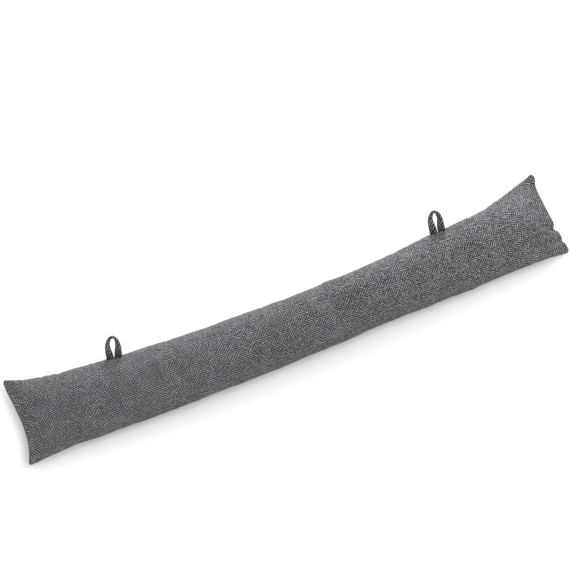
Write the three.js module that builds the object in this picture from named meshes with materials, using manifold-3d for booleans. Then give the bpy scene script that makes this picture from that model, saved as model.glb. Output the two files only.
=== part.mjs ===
// A draught excluder: a long filled tube of herringbone tweed that lies on the floor along the foot of a door.
// One rectangle of cloth is folded lengthwise, sewn along its long edge and flat across both ends, and filled.
// Two hanging loops, folded strips of the same cloth, are caught in the long seam.
// Millimetres. +X runs from the left end to the right one, +Y to the back, where the seam is, and +Z up.
// The floor is z = 0, and the origin is on it under the middle of the whole thing.
import * as THREE from "three";
import { mergeVertices } from "three/addons/utils/BufferGeometryUtils.js";
import Module from "manifold-3d";

const LENGTH = 898; // between the middles of the two end seams, in a straight line
const FLAT_WIDTH = 147; // of the empty tube laid flat, so its girth is twice this
const STEPS_ALONG = 64;
const STEPS_ROUND = 44;
const STEPS_CROWDED = 0.13; // how far the steps crowd towards the ends, where the form changes most
const CLOTH_GAP = 0.3; // between the loops' roots and the tube

// The filled tube from the left end to the right one. The filling is slack, so it lies oval and is nearly
// round only past its middle, and it curves a little towards the front.
// at: from the left end. height: of the tube there. lift: its underside above the floor. shift: of its
// middle, to the back. turn: degrees that the section faces away from +X. pinch: 0 for an oval section,
// more for one with sharper edges, less for one with blunter edges.
const SECTIONS = [
  { at: 0, height: 6, lift: 16.6, shift: 4, turn: -6.2, pinch: -0.5 },
  { at: 2, height: 10.5, lift: 14.4, shift: 3.6, turn: -6.2, pinch: -0.4 },
  { at: 6, height: 17, lift: 11.2, shift: 3, turn: -6.2, pinch: 0.1 },
  { at: 13, height: 27, lift: 7, shift: 2, turn: -6.1, pinch: 0.5 },
  { at: 27, height: 41, lift: 1.6, shift: 0.2, turn: -6.2, pinch: 0.5 },
  { at: 55, height: 53, lift: 0, shift: -4.4, turn: -6.3, pinch: 0.25 },
  { at: 100, height: 63, lift: 0, shift: -10.5, turn: -6, pinch: 0 },
  { at: 160, height: 68, lift: 0, shift: -16.4, turn: -4.5, pinch: 0 },
  { at: 220, height: 73, lift: 0, shift: -21.2, turn: -3, pinch: 0 },
  { at: 300, height: 80, lift: 0, shift: -26.2, turn: -2, pinch: 0 },
  { at: 380, height: 82, lift: 0, shift: -28.6, turn: -1, pinch: 0 },
  { at: 450, height: 85.5, lift: 0, shift: -30.2, turn: 0, pinch: 0 },
  { at: 515, height: 87, lift: 0, shift: -30.4, turn: 0.5, pinch: 0 },
  { at: 580, height: 89.5, lift: 0, shift: -29.6, turn: 2, pinch: 0 },
  { at: 640, height: 84, lift: 0, shift: -27.4, turn: 3.5, pinch: 0 },
  { at: 700, height: 77, lift: 0, shift: -23.8, turn: 4, pinch: 0 },
  { at: 770, height: 72, lift: 0, shift: -20.9, turn: 4.5, pinch: 0 },
  { at: 808, height: 69, lift: 0, shift: -18.4, turn: 4, pinch: 0 },
  { at: 840, height: 59.5, lift: 0, shift: -12.6, turn: 2.5, pinch: 0.25 },
  { at: 868, height: 44.5, lift: 1.6, shift: -7.4, turn: 0.5, pinch: 0.5 },
  { at: 885, height: 28, lift: 7, shift: -5.2, turn: -0.3, pinch: 0.5 },
  { at: 892, height: 17.5, lift: 11, shift: -4.4, turn: -0.3, pinch: 0.1 },
  { at: 896, height: 10.5, lift: 14.4, shift: -4, turn: -0.3, pinch: -0.4 },
  { at: LENGTH, height: 6, lift: 16.6, shift: -3.8, turn: -0.3, pinch: -0.5 },
];
const SETTLED = 0.07; // share of its height by which the underside is pressed flat on the floor

// The middle of each end seam is drawn in behind its corners.
// bow: how far. fades: over this length of tube. across: where, from 1 at the back to -1 at the front.
const DRAWN_IN = {
  left: { bow: 9.7, fades: 80, across: -0.6 },
  right: { bow: 2, fades: 80, across: 0 },
};
const CORNER = 6; // radius of the turned corners

// Tucks where the sewing has gathered the right end's cloth, and its back corner, which is pushed out.
// across: as above. pull: of the seam into the tube. depth: of the groove that runs from it. reach: the
// groove's length. width: of the groove.
const TUCKS = [
  { across: -0.36, pull: 4.5, depth: 6, reach: 26, width: 5 },
  { across: -0.7, pull: 2, depth: 2.5, reach: 14, width: 3.5 },
  { across: 0.93, pull: -5, depth: 0, reach: 20, width: 12 },
];

// The two back corners stand up as ears, and a trough runs along the tube in front of the right one.
// at, length: along the tube. angle, spread: degrees round it from its back edge over the top.
const FOLDS = [
  { at: 4, length: 14, angle: 0, spread: 24, rise: 6.5 },
  { at: 895, length: 9, angle: 0, spread: 24, rise: 7 },
  { at: 850, length: 30, angle: 42, spread: 17, rise: -4.5 },
];

// The hanging loops. Each strip rises from the seam face on, turns edge on over the top and comes down
// beside its other end. at: along the tube. lean: sideways for each millimetre up. turn: degrees about the
// tube's outward line. tip: degrees to the front. width: of the eye, as a share of the widest. twist: how
// evenly the strip turns.
const LOOPS = [
  { name: "loop_left", at: 172.2, lean: 0.14, turn: 8, tip: 10, width: 0.9, twist: 1.03 },
  { name: "loop_right", at: 718.5, lean: 0.15, turn: 13, tip: 10, width: 0.84, twist: 1.16 },
];
const STRIP_WIDTH = 12;
const STRIP_THICKNESS = 4.4;
const STRIP_EDGE = 1.2; // the chamfer of the strip's folded edges
const STRIP_STEPS = 40;
const SEAM_ANGLE = 31; // of the seam at the loops, up from the tube's back edge
// Half of the strip's middle line, from its root inside the seam to the top. side: from the loop's middle.
const STRIP_LINE = [
  { side: 6.3, rise: -5 },
  { side: 6.5, rise: 2 },
  { side: 8.2, rise: 10.5 },
  { side: 9, rise: 17.9 },
  { side: 7.5, rise: 25.7 },
  { side: 3.5, rise: 30.8 },
  { side: 0, rise: 32 },
];

const tweed = { color: 0x5d5f62, roughness: 0.95, metalness: 0 };
const radians = THREE.MathUtils.degToRad;

// A smooth line through one column of SECTIONS, read at any length along the tube.
function column(name) {
  const places = SECTIONS.map((row) => row.at);
  const values = SECTIONS.map((row) => row[name]);
  const line = new THREE.CubicInterpolant(places, values, 1);
  return (at) => line.evaluate(at)[0];
}
const heightAt = column("height");
const liftAt = column("lift");
const shiftAt = column("shift");
const turnAt = column("turn");
const pinchAt = column("pinch");

// One point of a section, across and up from the middle of the uncut oval. The angle starts at the back
// edge and goes over the top. The underside is cut flat.
function ovalPoint(halfWidth, halfHeight, pinch, underside, angle) {
  const sine = Math.sin(angle);
  const up = halfHeight * Math.sign(sine) * Math.abs(sine) ** (1 + pinch);
  return [halfWidth * Math.cos(angle), Math.max(up, underside)];
}

function girthOf(halfWidth, halfHeight, pinch, underside) {
  let girth = 0;
  let last = ovalPoint(halfWidth, halfHeight, pinch, underside, 0);
  for (let j = 1; j <= STEPS_ROUND; j++) {
    const next = ovalPoint(halfWidth, halfHeight, pinch, underside, (2 * Math.PI * j) / STEPS_ROUND);
    girth += Math.hypot(next[0] - last[0], next[1] - last[1]);
    last = next;
  }
  return girth;
}

// The cloth doesn't stretch: the girth is the same all along, so the width follows from the height.
function sectionAt(at) {
  const height = heightAt(at);
  const lift = Math.max(liftAt(at), 0);
  const onFloor = 1 - THREE.MathUtils.smoothstep(lift, 0, 2);
  const settled = SETTLED * height * onFloor;
  const halfHeight = (height + settled) / 2;
  const underside = settled - halfHeight;
  const pinch = pinchAt(at);
  let low = 0;
  let high = FLAT_WIDTH;
  for (let tries = 0; tries < 40; tries++) {
    const middle = (low + high) / 2;
    if (girthOf(middle, halfHeight, pinch, underside) < 2 * FLAT_WIDTH) low = middle;
    else high = middle;
  }
  return { halfWidth: low, halfHeight, pinch, underside, middleHeight: lift - underside };
}

const bell = (distance, width) => Math.exp(-((distance / width) ** 2));

// A point of the tube's surface.
function tubePoint(at, angle, section = sectionAt(at)) {
  let [across, up] = ovalPoint(section.halfWidth, section.halfHeight, section.pinch, section.underside, angle);
  const share = across / section.halfWidth;
  let along = 0;
  for (const [end, outward, fromEnd] of [
    [DRAWN_IN.left, -1, at],
    [DRAWN_IN.right, 1, LENGTH - at],
  ]) {
    const fade = Math.max(0, 1 - fromEnd / end.fades) ** 2;
    along -= outward * end.bow * (1 - share ** 2) * (1 + end.across * share) * fade;
    const intoCorner = THREE.MathUtils.clamp((Math.abs(across) - section.halfWidth) / CORNER + 1, 0, 1);
    along -= outward * CORNER * (1 - Math.sqrt(1 - intoCorner ** 2)) * bell(fromEnd, 7);
  }
  const fromRight = LENGTH - at;
  for (const tuck of TUCKS) {
    const near = bell(across - tuck.across * section.halfWidth, tuck.width);
    along -= tuck.pull * near * bell(fromRight, tuck.reach / 2);
    const groove = tuck.depth * near * bell(fromRight - tuck.reach / 3, tuck.reach / 2);
    up -= Math.sign(up) * Math.min(groove, 0.7 * Math.abs(up)) * (up > section.underside ? 1 : 0);
  }
  for (const fold of FOLDS) {
    const away = THREE.MathUtils.euclideanModulo(THREE.MathUtils.radToDeg(angle) - fold.angle + 180, 360) - 180;
    up += fold.rise * bell(away, fold.spread) * bell(at - fold.at, fold.length);
  }
  const turn = radians(turnAt(at));
  return new THREE.Vector3(
    at + along * Math.cos(turn) - across * Math.sin(turn),
    shiftAt(at) + along * Math.sin(turn) + across * Math.cos(turn),
    Math.max(up + section.middleHeight, 0),
  );
}

function placeAlong(step) {
  const share = step / STEPS_ALONG;
  return LENGTH * (share - STEPS_CROWDED * Math.sin(2 * Math.PI * share));
}

// The closed skin of the tube. With grow it lies that far outside the cloth.
function tubeGeometry(grow = 0) {
  const rings = [];
  for (let i = 0; i <= STEPS_ALONG; i++) {
    const at = placeAlong(i);
    const section = sectionAt(at);
    const ring = [];
    for (let j = 0; j < STEPS_ROUND; j++) {
      ring.push(tubePoint(at, (2 * Math.PI * j) / STEPS_ROUND, section));
    }
    rings.push(ring);
  }
  const faces = [];
  for (let i = 0; i < STEPS_ALONG; i++) {
    for (let j = 0; j < STEPS_ROUND; j++) {
      const k = (j + 1) % STEPS_ROUND;
      faces.push([i, j, i, k, i + 1, k], [i, j, i + 1, k, i + 1, j]);
    }
  }
  // The two layers of each end seam close across their edge.
  for (let top = 0; top < STEPS_ROUND / 2; top++) {
    const low = (STEPS_ROUND - top) % STEPS_ROUND;
    const nextLow = STEPS_ROUND - top - 1;
    const end = STEPS_ALONG;
    if (top > 0) {
      faces.push([0, top, 0, low, 0, nextLow]);
      faces.push([end, top, end, nextLow, end, low]);
    }
    if (top + 1 < nextLow) {
      faces.push([0, top, 0, nextLow, 0, top + 1]);
      faces.push([end, top, end, top + 1, end, nextLow]);
    }
  }
  const corners = rings.flat().flatMap((point) => point.toArray());
  const geometry = new THREE.BufferGeometry();
  geometry.setAttribute("position", new THREE.Float32BufferAttribute(corners, 3));
  geometry.setIndex(faces.flatMap(([a, b, c, d, e, f]) => [[a, b], [c, d], [e, f]]
    .map(([ring, step]) => ring * STEPS_ROUND + step)));
  if (grow > 0) {
    geometry.computeVertexNormals();
    const { position, normal } = geometry.attributes;
    for (let i = 0; i < position.count; i++) {
      position.setXYZ(
        i,
        position.getX(i) + grow * normal.getX(i),
        position.getY(i) + grow * normal.getY(i),
        position.getZ(i) + grow * normal.getZ(i),
      );
    }
    geometry.deleteAttribute("normal");
  }
  return geometry;
}

// The folded strip of one hanging loop, from its root inside the seam over the top and back.
function stripGeometry(loop) {
  const seamAngle = radians(SEAM_ANGLE);
  const root = tubePoint(loop.at, seamAngle);
  const along = tubePoint(loop.at + 5, seamAngle).sub(tubePoint(loop.at - 5, seamAngle)).normalize();
  const round = tubePoint(loop.at, seamAngle + 0.05).sub(tubePoint(loop.at, seamAngle - 0.05)).normalize();
  const out = new THREE.Vector3().crossVectors(round, along).normalize();
  const sideways = along.clone().applyAxisAngle(out, -radians(loop.turn));
  const rising = out.clone().applyAxisAngle(sideways, radians(loop.tip));
  const front = new THREE.Vector3().crossVectors(sideways, rising);
  const half = STRIP_LINE.map(({ side, rise }) => [side * (rise > 5 ? loop.width : 1), rise]);
  const line = [...half.map(([side, rise]) => [-side, rise]), ...half.slice(0, -1).reverse()];
  const points = line.map(([side, rise]) =>
    root.clone().addScaledVector(sideways, side + loop.lean * rise).addScaledVector(rise > 0 ? rising : out, rise));
  const curve = new THREE.CatmullRomCurve3(points);
  const w = STRIP_WIDTH / 2;
  const t = STRIP_THICKNESS / 2;
  const c = STRIP_EDGE;
  const outline = [[w, c - t], [w, t - c], [w - c, t], [c - w, t], [-w, t - c], [-w, c - t], [c - w, -t], [w - c, -t]];
  const corners = [];
  for (let i = 0; i <= STRIP_STEPS; i++) {
    const share = i / STRIP_STEPS;
    const middle = curve.getPointAt(share);
    const forward = curve.getTangentAt(share);
    const outward = new THREE.Vector3().crossVectors(front, forward).normalize();
    const swing = 2 * share - 1;
    const twist = (-Math.PI / 2) * Math.sign(swing) * Math.abs(swing) ** loop.twist;
    const face = outward.multiplyScalar(Math.cos(twist)).addScaledVector(front, Math.sin(twist)).normalize();
    const across = new THREE.Vector3().crossVectors(forward, face).normalize();
    for (const [wide, thick] of outline) {
      corners.push(...middle.clone().addScaledVector(across, wide).addScaledVector(face, thick).toArray());
    }
  }
  const sides = outline.length;
  const index = [];
  for (let i = 0; i < STRIP_STEPS; i++) {
    for (let j = 0; j < sides; j++) {
      const [a, b] = [i * sides + j, i * sides + ((j + 1) % sides)];
      index.push(a, b + sides, b, a, a + sides, b + sides);
    }
  }
  const last = STRIP_STEPS * sides;
  for (let j = 1; j < sides - 1; j++) {
    index.push(0, j, j + 1, last, last + j + 1, last + j);
  }
  const geometry = new THREE.BufferGeometry();
  geometry.setAttribute("position", new THREE.Float32BufferAttribute(corners, 3));
  geometry.setIndex(index);
  return geometry;
}

const wasm = await Module();
wasm.setup();

function solidOf(geometry) {
  const merged = mergeVertices(geometry, 1e-4);
  return new wasm.Manifold(
    new wasm.Mesh({
      numProp: 3,
      vertProperties: new Float32Array(merged.attributes.position.array),
      triVerts: new Uint32Array(merged.index.array),
    }),
  );
}

function geometryOf(solid) {
  const mesh = solid.getMesh();
  const geometry = new THREE.BufferGeometry();
  geometry.setAttribute("position", new THREE.BufferAttribute(mesh.vertProperties, 3));
  geometry.setIndex(new THREE.BufferAttribute(mesh.triVerts, 1));
  return geometry;
}

function piece(name, geometry) {
  const mesh = new THREE.Mesh(geometry, new THREE.MeshStandardMaterial(tweed));
  mesh.name = name;
  return mesh;
}

const excluder = new THREE.Group();
excluder.add(piece("cover", tubeGeometry()));
const clearOfTube = solidOf(tubeGeometry(CLOTH_GAP));
for (const loop of LOOPS) {
  const strip = solidOf(stripGeometry(loop)).subtract(clearOfTube);
  excluder.add(piece(loop.name, geometryOf(strip)));
}

const box = new THREE.Box3().setFromObject(excluder);
const middle = box.getCenter(new THREE.Vector3());
excluder.position.set(-middle.x, -middle.y, -box.min.z);

const root = new THREE.Group();
root.add(excluder);

export default root;
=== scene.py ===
# A draught excluder: a long filled tube of herringbone tweed that lies on the floor along the foot of a door,
# with two hanging loops of the same cloth in its long seam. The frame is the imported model, in metres.
import math

import bpy
import numpy as np
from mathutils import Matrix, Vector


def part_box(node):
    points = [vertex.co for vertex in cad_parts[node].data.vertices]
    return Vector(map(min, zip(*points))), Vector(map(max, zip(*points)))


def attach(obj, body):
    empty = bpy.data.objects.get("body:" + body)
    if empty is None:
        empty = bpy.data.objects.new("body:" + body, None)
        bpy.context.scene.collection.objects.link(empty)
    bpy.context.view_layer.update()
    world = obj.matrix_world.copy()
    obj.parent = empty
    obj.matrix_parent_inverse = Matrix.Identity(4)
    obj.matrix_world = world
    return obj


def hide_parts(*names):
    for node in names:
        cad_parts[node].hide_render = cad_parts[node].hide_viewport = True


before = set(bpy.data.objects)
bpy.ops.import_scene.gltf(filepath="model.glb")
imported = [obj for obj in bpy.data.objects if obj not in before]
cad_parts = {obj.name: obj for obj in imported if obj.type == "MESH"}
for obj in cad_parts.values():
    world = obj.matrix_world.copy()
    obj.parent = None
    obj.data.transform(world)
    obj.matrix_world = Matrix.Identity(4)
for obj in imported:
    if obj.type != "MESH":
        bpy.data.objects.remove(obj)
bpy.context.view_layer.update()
MM = 0.001


# The filled tube: one rectangle of tweed folded lengthwise, sewn along its long edge and flat across both
# ends, and filled with loose fibre. The filling is slack, so the tube lies oval on the floor and is nearly
# round only past its middle. Cloth doesn't stretch, so the girth is the same all along.
LENGTH = 898  # millimetres, as all sizes of the tube up to where its mesh is made
FLAT_WIDTH = 147
GIRTH = 2 * FLAT_WIDTH
STEPS_ALONG = 480
STEPS_ROUND = 168
SETTLED = 0.07  # share of the height pressed flat on the floor

# at: from the left end. height: of the tube. lift: of its underside. shift: of its middle, to the back.
# turn: degrees that the section faces away from +X. pinch: how sharp the section's two edges are.
SECTIONS = [
    dict(at=0, height=6, lift=16.6, shift=4, turn=-6.2, pinch=-0.5),
    dict(at=2, height=10.5, lift=14.4, shift=3.6, turn=-6.2, pinch=-0.4),
    dict(at=6, height=17, lift=11.2, shift=3, turn=-6.2, pinch=0.1),
    dict(at=13, height=27, lift=7, shift=2, turn=-6.1, pinch=0.5),
    dict(at=27, height=41, lift=1.6, shift=0.2, turn=-6.2, pinch=0.5),
    dict(at=55, height=53, lift=0, shift=-4.4, turn=-6.3, pinch=0.25),
    dict(at=100, height=63, lift=0, shift=-10.5, turn=-6, pinch=0),
    dict(at=160, height=68, lift=0, shift=-16.4, turn=-4.5, pinch=0),
    dict(at=220, height=73, lift=0, shift=-21.2, turn=-3, pinch=0),
    dict(at=300, height=80, lift=0, shift=-26.2, turn=-2, pinch=0),
    dict(at=380, height=82, lift=0, shift=-28.6, turn=-1, pinch=0),
    dict(at=450, height=85.5, lift=0, shift=-30.2, turn=0, pinch=0),
    dict(at=515, height=87, lift=0, shift=-30.4, turn=0.5, pinch=0),
    dict(at=580, height=89.5, lift=0, shift=-29.6, turn=2, pinch=0),
    dict(at=640, height=84, lift=0, shift=-27.4, turn=3.5, pinch=0),
    dict(at=700, height=77, lift=0, shift=-23.8, turn=4, pinch=0),
    dict(at=770, height=72, lift=0, shift=-20.9, turn=4.5, pinch=0),
    dict(at=808, height=69, lift=0, shift=-18.4, turn=4, pinch=0),
    dict(at=840, height=59.5, lift=0, shift=-12.6, turn=2.5, pinch=0.25),
    dict(at=868, height=44.5, lift=1.6, shift=-7.4, turn=0.5, pinch=0.5),
    dict(at=885, height=28, lift=7, shift=-5.2, turn=-0.3, pinch=0.5),
    dict(at=892, height=17.5, lift=11, shift=-4.4, turn=-0.3, pinch=0.1),
    dict(at=896, height=10.5, lift=14.4, shift=-4, turn=-0.3, pinch=-0.4),
    dict(at=LENGTH, height=6, lift=16.6, shift=-3.8, turn=-0.3, pinch=-0.5),
]
# The middle of each end seam is drawn in behind its corners, and the turned corners are round.
LEFT_END = dict(outward=-1, bow=9.7, fades=80, across=-0.6)
RIGHT_END = dict(outward=1, bow=2, fades=80, across=0)
CORNER = 6
# Tucks where the sewing has gathered the right end, and its back corner, which is pushed out.
TUCKS = [
    dict(across=-0.36, pull=4.5, depth=6, reach=26, width=5),
    dict(across=-0.7, pull=2, depth=2.5, reach=14, width=3.5),
    dict(across=0.93, pull=-5, depth=0, reach=20, width=12),
]
# The two back corners stand up as ears, and a trough runs along the tube in front of the right one. The
# angle goes round the tube from its back edge over the top.
FOLDS = [
    dict(at=4, length=14, angle=0, spread=24, rise=6.5),
    dict(at=895, length=9, angle=0, spread=24, rise=7),
    dict(at=850, length=30, angle=42, spread=17, rise=-4.5),
]

# Its cloth is herringbone tweed: woollen yarns in a 2/2 twill that turns back every eight ends. A black weft
# crosses a pale grey warp, so light and dark diagonals stand in narrow bands along the tube. The face is matt
# and slightly hairy, so it catches light where it turns away. The real yarns are 0.98 and 1.08 mm apart, which
# is too fine to show, so they are drawn a little coarser.
WARP_SPACING = 1.05 * MM
WEFT_SPACING = 1.14 * MM
ENDS_IN_BAND = 8
YARN_RELIEF = 0.5 * MM
PALE_WARP = 0xB7B8BB
GREY_WARP = 0x707175
BLACK_WEFT = 0x050506
GREY_WEFT = 0x2C2D31
HAIRS = 0xE4E6EA


def linear(colour):
    """A hex colour as linear red, green, blue and alpha."""
    shares = [(colour >> shift & 255) / 255 for shift in (16, 8, 0)]
    return [c / 12.92 if c <= 0.04045 else ((c + 0.055) / 1.055) ** 2.4 for c in shares] + [1.0]


def add(tree, kind, *values, **named):
    """A node with its settings and links. Values go to its inputs in order. Of the named ones, small letters
    mean a setting and capitals an input, and _6 is the input with that number. A node stands for its first
    output."""
    node = tree.nodes.new("ShaderNode" + kind)
    for setting in [name for name in named if name.islower()]:
        setattr(node, setting, named.pop(setting))
    slots = dict(enumerate(values))
    for name, value in named.items():
        slots[int(name[1:]) if name[0] == "_" else name.replace("_", " ")] = value
    for slot, value in slots.items():
        if isinstance(value, bpy.types.Node):
            value = value.outputs[0]
        if isinstance(value, bpy.types.NodeSocket):
            tree.links.new(value, node.inputs[slot])
        else:
            node.inputs[slot].default_value = value
    return node


def herringbone_tweed(name, sheen, strip=None):
    """The cloth as a material. A strip of this length, in metres, gets painted shade toward its two roots."""
    material = bpy.data.materials.new(name)
    material.use_nodes = True
    tree = material.node_tree
    tree.nodes.clear()
    cloth = add(tree, "UVMap", uv_map="cloth")
    lengthwise, crosswise, _ = add(tree, "SeparateXYZ", cloth).outputs

    # The yarns wander a little from their straight lines: picks by up to one and a half, ends by less.
    drift = add(tree, "TexNoise", Vector=cloth, Scale=1 / (6 * MM), Detail=2.0)
    wander = add(tree, "Math", drift, 0.5, operation="SUBTRACT")
    elsewhere = add(tree, "CombineXYZ", add(tree, "Math", lengthwise, 5.0, operation="ADD"), crosswise)
    other_drift = add(tree, "TexNoise", Vector=elsewhere, Scale=1 / (8 * MM), Detail=2.0)
    sway = add(tree, "Math", other_drift, 0.5, operation="SUBTRACT")
    straight_pick = add(tree, "Math", lengthwise, WEFT_SPACING, operation="DIVIDE")
    straight_end = add(tree, "Math", crosswise, WARP_SPACING, operation="DIVIDE")
    pick_place = add(tree, "Math", wander, 3.2, straight_pick, operation="MULTIPLY_ADD")
    end_place = add(tree, "Math", sway, 1.4, straight_end, operation="MULTIPLY_ADD")
    pick = add(tree, "Math", pick_place, operation="FLOOR")
    end = add(tree, "Math", end_place, operation="FLOOR")
    across_end = add(tree, "Math", end_place, operation="FRACT")
    across_pick = add(tree, "Math", pick_place, operation="FRACT")

    # The twill steps one pick for each end. Every other band steps back, half a repeat out.
    band = add(tree, "Math", add(tree, "Math", end, ENDS_IN_BAND, operation="DIVIDE"), operation="FLOOR")
    turned = add(tree, "Math", band, 2.0, operation="FLOORED_MODULO")
    slope = add(tree, "Math", turned, -2.0, 1.0, operation="MULTIPLY_ADD")
    end_in_band = add(tree, "Math", end, ENDS_IN_BAND, operation="FLOORED_MODULO")
    climb = add(tree, "Math", slope, end_in_band, pick, operation="MULTIPLY_ADD")
    climb = add(tree, "Math", climb, turned, operation="ADD")
    step = add(tree, "Math", climb, 4.0, operation="FLOORED_MODULO")
    warp_up = add(tree, "Math", step, 1.5, operation="LESS_THAN")
    weft_up = add(tree, "Math", 1.0, warp_up, operation="SUBTRACT")

    # Each float is round across the yarn and dives at its two ends.
    on_warp = add(tree, "Math", add(tree, "Math", step, across_pick, operation="ADD"), 0.5, operation="MULTIPLY")
    forth = add(tree, "Math", step, 2.0, operation="SUBTRACT")
    back = add(tree, "Math", 5.0, add(tree, "Math", step, 2.0, operation="MULTIPLY"), operation="SUBTRACT")
    back_step = add(tree, "Math", turned, back, forth, operation="MULTIPLY_ADD")
    on_weft = add(tree, "Math", add(tree, "Math", back_step, across_end, operation="ADD"), 0.5, operation="MULTIPLY")
    crowns = []
    for place, flatness in ((across_end, 0.6), (on_warp, 0.4), (across_pick, 0.6), (on_weft, 0.4)):
        swell = add(tree, "Math", add(tree, "Math", place, math.pi, operation="MULTIPLY"), operation="SINE")
        swell = add(tree, "Math", swell, 0.001, operation="MAXIMUM")
        crowns.append(add(tree, "Math", swell, flatness, operation="POWER"))
    warp_height = add(tree, "Math", crowns[0], crowns[1], operation="MULTIPLY")
    weft_height = add(tree, "Math", crowns[2], crowns[3], operation="MULTIPLY")
    height = add(
        tree,
        "Math",
        add(tree, "Math", warp_up, warp_height, operation="MULTIPLY"),
        add(tree, "Math", weft_up, weft_height, operation="MULTIPLY"),
        operation="ADD",
    )

    # Mixed fibres: each weft yarn changes along its length, and no two warp floats are quite alike.
    on_yarn = add(tree, "CombineXYZ", add(tree, "Math", crosswise, 5 * MM, operation="DIVIDE"), pick, 7.0)
    along_weft = add(tree, "TexNoise", Vector=on_yarn, Scale=1.0, Detail=2.0)
    grey_share = add(tree, "Math", along_weft, 2.4, -0.8, operation="MULTIPLY_ADD")
    repeat = add(tree, "Math", add(tree, "Math", climb, 4.0, operation="DIVIDE"), operation="FLOOR")
    one_float = add(tree, "CombineXYZ", repeat, end)
    each_float = add(tree, "TexWhiteNoise", Vector=one_float, noise_dimensions="2D")
    warp_colour = add(tree, "Mix", each_float, _6=linear(GREY_WARP), _7=linear(PALE_WARP), data_type="RGBA").outputs[2]
    weft_colour = add(tree, "Mix", grey_share, _6=linear(BLACK_WEFT), _7=linear(GREY_WEFT), data_type="RGBA").outputs[2]
    yarn = add(tree, "Mix", warp_up, _6=weft_colour, _7=warp_colour, data_type="RGBA").outputs[2]

    # Painted shade darkens the gaps between the yarns and between the bands, the yarns are thick and thin, and the
    # dyeing and wear leave slow patches.
    shade = add(tree, "Math", height, 0.8, 0.2, operation="MULTIPLY_ADD")
    slow = add(tree, "TexNoise", Vector=cloth, Scale=1 / (35 * MM), Detail=3.0)
    patches = add(tree, "Math", slow, 0.5, 0.75, operation="MULTIPLY_ADD")
    quick = add(tree, "TexNoise", Vector=cloth, Scale=1 / (3.4 * MM), Detail=2.0)
    slubs = add(tree, "Math", add(tree, "Math", quick, 1.4, 0.28, operation="MULTIPLY_ADD"), 0.15, operation="MAXIMUM")
    # Painted shade: the end where the twill turns back is darkened as if in a groove.
    at_turn = add(tree, "Math", end_in_band, 0.5, operation="LESS_THAN")
    groove_shade = add(tree, "Math", at_turn, -0.16, 1.0, operation="MULTIPLY_ADD")
    tone = add(
        tree,
        "Math",
        add(tree, "Math", shade, patches, operation="MULTIPLY"),
        add(tree, "Math", slubs, groove_shade, operation="MULTIPLY"),
        operation="MULTIPLY",
    )
    # Painted shade: a strip is darkened toward its roots, where it stands in the seam's crease.
    if strip:
        from_root = add(tree, "Math", lengthwise, strip / 2, operation="PINGPONG")
        painted_root_shade = add(tree, "MapRange", from_root, From_Min=3.5 * MM, From_Max=15.5 * MM, To_Min=0.3, To_Max=1.0)
        tone = add(tree, "Math", tone, painted_root_shade, operation="MULTIPLY")
    colour = add(tree, "VectorMath", yarn, Scale=tone, operation="SCALE")

    fibres = add(tree, "TexNoise", Vector=cloth, Scale=1 / (0.35 * MM), Detail=3.0)
    relief = add(tree, "Math", fibres, 0.35, height, operation="MULTIPLY_ADD")
    shader = add(
        tree,
        "BsdfPrincipled",
        Base_Color=colour,
        Roughness=0.92,
        IOR=1.5,
        Specular_IOR_Level=0.05,
        Sheen_Weight=sheen,
        Sheen_Roughness=0.24,
        Sheen_Tint=linear(HAIRS),
        Normal=add(tree, "Bump", Strength=0.15, Distance=YARN_RELIEF, Height=relief),
    )
    add(tree, "OutputMaterial", Surface=shader)
    return material


tweed = herringbone_tweed("herringbone_tweed", sheen=0.16)


def smooth_line(places, values, at):
    """A smooth line through the values at these places, read at others."""
    places, values = np.array(places, float), np.array(values, float)
    secants = np.diff(values) / np.diff(places)
    slopes = np.concatenate([secants[:1], (secants[1:] + secants[:-1]) / 2, secants[-1:]])
    i = np.clip(np.searchsorted(places, at, side="right") - 1, 0, len(places) - 2)
    wide = places[i + 1] - places[i]
    s = (at - places[i]) / wide
    from_start = (1 + 2 * s) * (1 - s) ** 2 * values[i] + s * (1 - s) ** 2 * wide * slopes[i]
    to_end = s**2 * (3 - 2 * s) * values[i + 1] + s**2 * (s - 1) * wide * slopes[i + 1]
    return from_start + to_end


def column(name, at):
    return smooth_line([row["at"] for row in SECTIONS], [row[name] for row in SECTIONS], at)


def smoothstep(value, low, high):
    share = np.clip((value - low) / (high - low), 0, 1)
    return share**2 * (3 - 2 * share)


def bell(distance, width):
    return np.exp(-((distance / width) ** 2))


def oval(half_width, half_height, pinch, underside, angle):
    """A section's points, across and up. The angle starts at the back edge and goes over the top."""
    sine = np.sin(angle)
    up = half_height * np.sign(sine) * np.abs(sine) ** (1 + pinch)
    return half_width * np.cos(angle), np.maximum(up, underside)


def sections(at):
    """The sections at these lengths, as columns: half width, half height, pinch, underside, middle's height."""
    height = column("height", at)
    lift = np.maximum(column("lift", at), 0)
    settled = SETTLED * height * (1 - smoothstep(lift, 0, 2))
    half_height = (height + settled) / 2
    underside = settled - half_height
    pinch = column("pinch", at)
    round_it = np.linspace(0, 2 * math.pi, 361)
    low, high = np.zeros_like(at), np.full_like(at, float(FLAT_WIDTH))
    for _ in range(30):
        middle = (low + high) / 2
        x, z = oval(middle[:, None], half_height[:, None], pinch[:, None], underside[:, None], round_it[None])
        short = np.hypot(np.diff(x), np.diff(z)).sum(1) < GIRTH
        low, high = np.where(short, middle, low), np.where(short, high, middle)
    return low, half_height, pinch, underside, lift - underside


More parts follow.
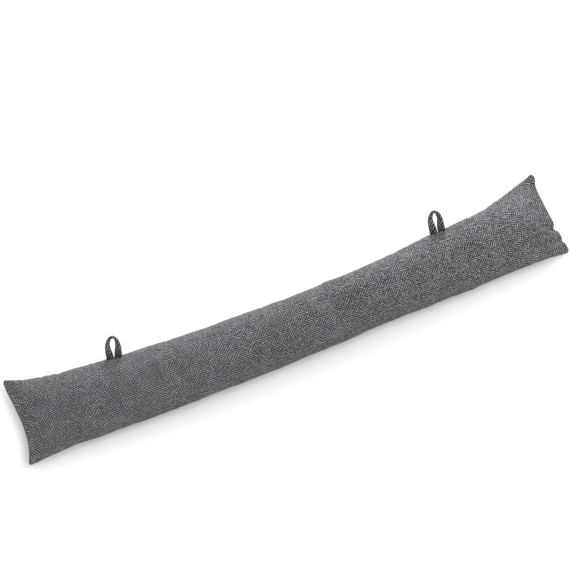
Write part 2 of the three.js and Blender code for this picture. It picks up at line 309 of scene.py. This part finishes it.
def tube_point(at, angle, section):
    """Points of the tube's surface, in millimetres from the left end."""
    half_width, half_height, pinch, underside, middle_height = section
    across, up = oval(half_width, half_height, pinch, underside, angle)
    share = across / half_width
    along = np.zeros_like(across)
    from_right = LENGTH - at
    for end, from_end in ((LEFT_END, at), (RIGHT_END, from_right)):
        fade = np.maximum(0, 1 - from_end / end["fades"]) ** 2
        along -= end["outward"] * end["bow"] * (1 - share**2) * (1 + end["across"] * share) * fade
        into_corner = np.clip((np.abs(across) - half_width) / CORNER + 1, 0, 1)
        along -= end["outward"] * CORNER * (1 - np.sqrt(1 - into_corner**2)) * bell(from_end, 7)
    for tuck in TUCKS:
        near = bell(across - tuck["across"] * half_width, tuck["width"])
        along -= tuck["pull"] * near * bell(from_right, tuck["reach"] / 2)
        groove = tuck["depth"] * near * bell(from_right - tuck["reach"] / 3, tuck["reach"] / 2)
        up = up - np.sign(up) * np.minimum(groove, 0.7 * np.abs(up)) * (up > underside)
    for fold in FOLDS:
        away = (np.degrees(angle) - fold["angle"] + 180) % 360 - 180
        up = up + fold["rise"] * bell(away, fold["spread"]) * bell(at - fold["at"], fold["length"])
    turn = np.radians(column("turn", at))
    x = at + along * np.cos(turn) - across * np.sin(turn)
    y = column("shift", at) + along * np.sin(turn) + across * np.cos(turn)
    return np.stack([x, y, np.maximum(up + middle_height, 0)], -1)


# The seam leaves the back corner of one end, climbs to where the loops are and comes down to the other.
SEAM_CLIMB = [(0, 0), (60, 14), (130, 28), (173, 31), (720, 31), (770, 28), (838, 14), (LENGTH, 0)]


def seam_angle(at):
    places, degrees = zip(*SEAM_CLIMB)
    return np.radians(smooth_line(places, degrees, at))


# Rings of points, closer together toward the ends. Each starts at the seam and goes evenly round the girth.
share = np.linspace(0, 1, STEPS_ALONG + 1)
ring_at = LENGTH * (share - 0.1 * np.sin(2 * math.pi * share))
ring_section = [part[:, None] for part in sections(ring_at)]
fine = np.linspace(0, 2 * math.pi, 1441)[None] + seam_angle(ring_at)[:, None]
x, z = oval(*ring_section[:4], fine)
run = np.concatenate([np.zeros((len(ring_at), 1)), np.cumsum(np.hypot(np.diff(x), np.diff(z)), 1)], 1)
round_share = np.arange(STEPS_ROUND) / STEPS_ROUND
ring_angle = np.array([np.interp(round_share * r[-1], r, a) for r, a in zip(run, fine)])
surface = tube_point(ring_at[:, None], ring_angle, ring_section)

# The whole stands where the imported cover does.
low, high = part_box("cover")
home = np.array([
    (low.x + high.x) / 2 / MM - (surface[..., 0].min() + surface[..., 0].max()) / 2,
    (low.y + high.y) / 2 / MM - (surface[..., 1].min() + surface[..., 1].max()) / 2,
    low.z / MM,
])

# The cloth's own unevenness: soft lumps of filling, dents of the slack cloth beside the seam, the drawn-in
# seam with its small puckers, and the hem across each end. at, depth and length are in millimetres.
DENTS = [
    dict(at=83, depth=1.5, length=5),
    dict(at=414, depth=1.6, length=9),
    dict(at=455, depth=0.9, length=22),
    dict(at=500, depth=1.5, length=12),
    dict(at=521, depth=-1.2, length=6),
    dict(at=726, depth=0.8, length=12),
]
SEAM_DEPTH = 0.7
PUCKER = 0.35
HEM_DEPTH = 0.7
HEM_FROM_END = 8
random = np.random.default_rng(8)
lengthwise = ring_at[:, None] + 0 * round_share
from_seam = GIRTH * round_share[None] + 0 * lengthwise
beside_seam = np.minimum(from_seam, GIRTH - from_seam)


def lumps(waves_along, turns_round, count):
    """A sum of waves with random directions: so many along the tube, and up to so many round it."""
    field = np.zeros_like(lengthwise)
    for _ in range(count):
        waves = random.uniform(*waves_along)
        turns = random.integers(-turns_round, turns_round + 1)
        start = random.uniform(0, 2 * math.pi)
        field += np.sin(2 * math.pi * (waves * lengthwise / LENGTH + turns * from_seam / GIRTH) + start)
    return field / math.sqrt(count)


full = smoothstep(ring_at, 0, 70)[:, None] * smoothstep(LENGTH - ring_at, 0, 70)[:, None]
proud = full * (0.55 * lumps((5, 16), 3, 14) + 0.2 * lumps((20, 48), 9, 16))
proud -= SEAM_DEPTH * bell(beside_seam, 1.2)
proud += PUCKER * full * bell(beside_seam, 9) * lumps((60, 95), 0, 10)
for dent in DENTS:
    proud -= (dent["depth"] * bell(ring_at - dent["at"], dent["length"]))[:, None] * bell(beside_seam, 32)
hem = bell(ring_at - HEM_FROM_END, 3) + bell(LENGTH - ring_at - HEM_FROM_END, 3)
proud -= HEM_DEPTH * hem[:, None]

along_step = np.gradient(surface, axis=0)
round_step = (np.roll(surface, -1, 1) - np.roll(surface, 1, 1)) / 2
outward = np.cross(round_step, along_step)
outward /= np.maximum(np.linalg.norm(outward, axis=2, keepdims=True), 1e-6)
on_floor = smoothstep(surface[..., 2:3], 0, 6)
surface = surface + outward * proud[..., None] * on_floor
surface[..., 2] = np.maximum(surface[..., 2], 0)

faces, cloth_place = [], []
for i in range(STEPS_ALONG):
    for j in range(STEPS_ROUND):
        k = (j + 1) % STEPS_ROUND
        faces.append((i * STEPS_ROUND + j, i * STEPS_ROUND + k, (i + 1) * STEPS_ROUND + k, (i + 1) * STEPS_ROUND + j))
        start, stop = ring_at[i] * MM, ring_at[i + 1] * MM
        left, right = GIRTH * j / STEPS_ROUND * MM, GIRTH * (j + 1) / STEPS_ROUND * MM
        cloth_place += [(start, left), (start, right), (stop, right), (stop, left)]


def sew_end(ring, flip):
    """Closes the two layers of an end with triangles, from its back corner to its front one."""
    first = ring * STEPS_ROUND
    back = int(np.argmin(np.abs(np.cos(ring_angle[ring]) - 1)))
    front = int(np.argmin(np.abs(np.cos(ring_angle[ring]) + 1)))
    top = [j % STEPS_ROUND for j in range(back, front + 1 if front > back else front + STEPS_ROUND + 1)]
    under = [j % STEPS_ROUND for j in range(back, front - 1 if front < back else front - STEPS_ROUND - 1, -1)]
    across = np.cos(ring_angle[ring])
    i = j = 0
    while i + 1 < len(top) or j + 1 < len(under):
        on_top = j + 1 >= len(under) or (i + 1 < len(top) and across[top[i + 1]] >= across[under[j + 1]])
        corner = top[i + 1] if on_top else under[j + 1]
        if len({top[i], under[j], corner}) == 3:
            triangle = (first + top[i], first + under[j], first + corner)
            if flip:
                triangle = triangle[::-1]
            faces.append(triangle)
            for point in triangle:
                cloth_place.append((ring_at[ring] * MM, GIRTH * (point % STEPS_ROUND) / STEPS_ROUND * MM))
        i, j = (i + 1, j) if on_top else (i, j + 1)


sew_end(0, False)
sew_end(STEPS_ALONG, True)


def cloth_mesh(name, points, faces, cloth_place, material):
    """A smooth mesh of cloth. cloth_place says where each corner of each face lies in the flat cloth, in metres."""
    mesh = bpy.data.meshes.new(name)
    mesh.from_pydata(points.reshape(-1, 3).tolist(), [], faces)
    layer = mesh.uv_layers.new(name="cloth")
    layer.data.foreach_set("uv", np.array(cloth_place, np.float32).ravel())
    mesh.polygons.foreach_set("use_smooth", [True] * len(mesh.polygons))
    mesh.materials.append(material)
    mesh.validate()
    mesh.update()
    piece = bpy.data.objects.new(name, mesh)
    bpy.context.scene.collection.objects.link(piece)
    return piece


tube = cloth_mesh("filled_tube", (surface + home) * MM, faces, cloth_place, tweed)
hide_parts("cover")
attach(tube, "root")


# The hanging loops: folded strips of the same tweed, both ends of each caught side by side in the long seam.
# The strip leaves the seam face on, turns edge on over the top and comes down beside its other end. It is
# pressed, so it is less hairy than the tube, and painted shade darkens its roots, where they stand in the seam's
# crease.

# at: along the tube. lean: sideways for each millimetre up. turn: degrees about the tube's outward line.
# tip: degrees to the front. width: of the eye, as a share of the widest. twist: how evenly the strip turns.
LOOPS = [
    dict(name="left_loop", node="loop_left", at=172.2, lean=0.14, turn=8, tip=10, width=0.9, twist=1.03),
    dict(name="right_loop", node="loop_right", at=718.5, lean=0.15, turn=13, tip=10, width=0.84, twist=1.16),
]
STRIP_WIDTH = 12
STRIP_THICKNESS = 4.4
STRIP_LENGTH = 82
STRIP_STEPS = 120
STRIP_ROUND = 28
LOOP_SEAM_ANGLE = math.radians(31)
# Half of the strip's middle line, from its root inside the seam to the top: sideways and up.
STRIP_LINE = [(6.3, -5), (6.5, 2), (8.2, 10.5), (9, 17.9), (7.5, 25.7), (3.5, 30.8), (0, 32)]
# The weave is drawn longer and wider than the tube's: any finer, it doesn't show on so small a piece.
WEAVE_LONGER = 1.15
WEAVE_WIDER = 1.4
pressed_tweed = herringbone_tweed("pressed_tweed", sheen=0.04, strip=STRIP_LENGTH / WEAVE_LONGER * MM)


def one_point(at, angle):
    at = np.array([float(at)])
    return tube_point(at, np.array([angle]), sections(at))[0]


def unit(vector):
    return vector / np.linalg.norm(vector, axis=-1, keepdims=True)


def rounded(wave, power):
    return np.sign(wave) * np.abs(wave) ** power


for loop in LOOPS:
    # Directions at the root: along the tube, out of it and to the front, then turned and tipped.
    at = loop["at"]
    root = one_point(at, LOOP_SEAM_ANGLE)
    along = unit(one_point(at + 5, LOOP_SEAM_ANGLE) - one_point(at - 5, LOOP_SEAM_ANGLE))
    round_tube = unit(one_point(at, LOOP_SEAM_ANGLE + 0.05) - one_point(at, LOOP_SEAM_ANGLE - 0.05))
    out = unit(np.cross(round_tube, along))
    front = np.cross(along, out)
    turn, tip = math.radians(loop["turn"]), math.radians(loop["tip"])
    sideways = along * math.cos(turn) + front * math.sin(turn)
    front = front * math.cos(turn) - along * math.sin(turn)
    rising = out * math.cos(tip) - front * math.sin(tip)
    front = front * math.cos(tip) + out * math.sin(tip)

    # The strip's middle line, evenly stepped from root to root.
    half = [(side * (loop["width"] if rise > 5 else 1), rise) for side, rise in STRIP_LINE]
    knots = []
    for side, rise in [(-side, rise) for side, rise in half] + half[-2::-1]:
        upward = rising if rise > 0 else out
        knots.append(root + sideways * (side + loop["lean"] * rise) + upward * rise)
    knots = np.array(knots)
    spans = np.concatenate([[0], np.cumsum(np.linalg.norm(np.diff(knots, axis=0), axis=1) ** 0.5)])
    fine = np.linspace(0, spans[-1], 600)
    middle = np.stack([smooth_line(spans, knots[:, axis], fine) for axis in range(3)], 1)
    run = np.concatenate([[0], np.cumsum(np.linalg.norm(np.diff(middle, axis=0), axis=1))])
    even = np.linspace(0, run[-1], STRIP_STEPS + 1)
    middle = np.stack([np.interp(even, run, middle[:, axis]) for axis in range(3)], 1)

    # Its face turns half round between the roots.
    forward = unit(np.gradient(middle, axis=0))
    swing = 2 * even / run[-1] - 1
    twist = -math.pi / 2 * rounded(swing, loop["twist"])
    outward = unit(np.cross(front, forward))
    face = unit(outward * np.cos(twist)[:, None] + front * np.sin(twist)[:, None])
    across = unit(np.cross(forward, face))
    round_strip = 2 * math.pi * np.arange(STRIP_ROUND) / STRIP_ROUND
    wide = STRIP_WIDTH / 2 * rounded(np.cos(round_strip), 0.45)
    thick = STRIP_THICKNESS / 2 * rounded(np.sin(round_strip), 0.6)
    points = middle[:, None] + across[:, None] * wide[None, :, None] + face[:, None] * thick[None, :, None]

    along_cloth = even / WEAVE_LONGER * MM
    sides = np.hypot(np.diff(np.append(wide, wide[0])), np.diff(np.append(thick, thick[0])))
    across_cloth = np.concatenate([[0], np.cumsum(sides)]) / WEAVE_WIDER * MM
    strip_faces, strip_place = [], []
    for i in range(STRIP_STEPS):
        for j in range(STRIP_ROUND):
            k = (j + 1) % STRIP_ROUND
            strip_faces.append(
                (i * STRIP_ROUND + j, (i + 1) * STRIP_ROUND + j, (i + 1) * STRIP_ROUND + k, i * STRIP_ROUND + k)
            )
            start, stop = along_cloth[i], along_cloth[i + 1]
            left, right = across_cloth[j], across_cloth[j + 1]
            strip_place += [(start, left), (stop, left), (stop, right), (start, right)]
    for ring, order in ((0, 1), (STRIP_STEPS, -1)):
        cut_end = [ring * STRIP_ROUND + j for j in range(STRIP_ROUND)][::order]
        strip_faces.append(tuple(cut_end))
        strip_place += [(along_cloth[ring], 0.0)] * STRIP_ROUND
    piece = cloth_mesh(loop["name"], (points + home) * MM, strip_faces, strip_place, pressed_tweed)
    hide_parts(loop["node"])
    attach(piece, "root")


# The floor: plain, matt and pale.
floor_material = bpy.data.materials.new("pale_floor")
floor_material.use_nodes = True
paint = floor_material.node_tree.nodes["Principled BSDF"]
paint.inputs["Base Color"].default_value = linear(0xF8F8F8)
paint.inputs["Roughness"].default_value = 0.9
bpy.ops.mesh.primitive_plane_add(size=12, location=(0, 0, 0))
floor = bpy.context.object
floor.name = "floor"
floor.data.materials.append(floor_material)


# The light: a white studio, a little brighter behind, with a soft light above and a low one behind that
# catches the back edge.
BRIGHTNESS = 0.93
BRIGHTER_BEHIND = 0.25
world = bpy.data.worlds.new("studio")
bpy.context.scene.world = world
world.use_nodes = True
sky = world.node_tree
sky.nodes["Background"].inputs["Color"].default_value = linear(0xFFFFFF)
toward_back = add(sky, "SeparateXYZ", add(sky, "TexCoord").outputs["Generated"]).outputs["Y"]
strength = add(sky, "Math", toward_back, BRIGHTER_BEHIND, BRIGHTNESS, operation="MULTIPLY_ADD")
sky.links.new(strength.outputs[0], sky.nodes["Background"].inputs["Strength"])


def soft_light(name, power, size, place):
    """A square lamp that faces the middle of the floor."""
    lamp = bpy.data.lights.new(name, "AREA")
    lamp.energy, lamp.size = power, size
    light = bpy.data.objects.new(name, lamp)
    bpy.context.scene.collection.objects.link(light)
    light.location = place
    x, y, z = place
    light.rotation_euler = (math.atan2(math.hypot(x, y), z), 0, math.atan2(x, -y))


soft_light("back_light", 110, 0.5, (1.2, 2.8, 0.25))
soft_light("top_light", 62, 2.5, (1.0, -1.2, 3.2))


# The camera stands in front of the left half and looks down at 64 degrees. The view is as wide as the photo's
# at the tube, in metres.
CAMERA_TURN = math.radians(24)
CAMERA_TILT = math.radians(64)
CAMERA_AWAY = 5.5
VIEW_WIDTH = 0.88087
AIM = np.array([-0.0032, -0.0005, 0])
AIM_ABOVE = 0.0617
rightward = np.array([math.cos(CAMERA_TURN), -math.sin(CAMERA_TURN), 0])
into = np.array([math.sin(CAMERA_TURN), math.cos(CAMERA_TURN), 0])
upward = into * math.sin(CAMERA_TILT) + np.array([0, 0, math.cos(CAMERA_TILT)])
ahead = into * math.cos(CAMERA_TILT) - np.array([0, 0, math.sin(CAMERA_TILT)])
lens = bpy.data.cameras.new("camera")
lens.sensor_width = 36
lens.lens = 36 * CAMERA_AWAY / VIEW_WIDTH
camera = bpy.data.objects.new("camera", lens)
bpy.context.scene.collection.objects.link(camera)
camera.location = AIM + upward * AIM_ABOVE - ahead * CAMERA_AWAY
camera.rotation_euler = (math.pi / 2 - CAMERA_TILT, 0, -CAMERA_TURN)
bpy.context.scene.camera = camera
bpy.context.scene.view_settings.view_transform = "Standard"
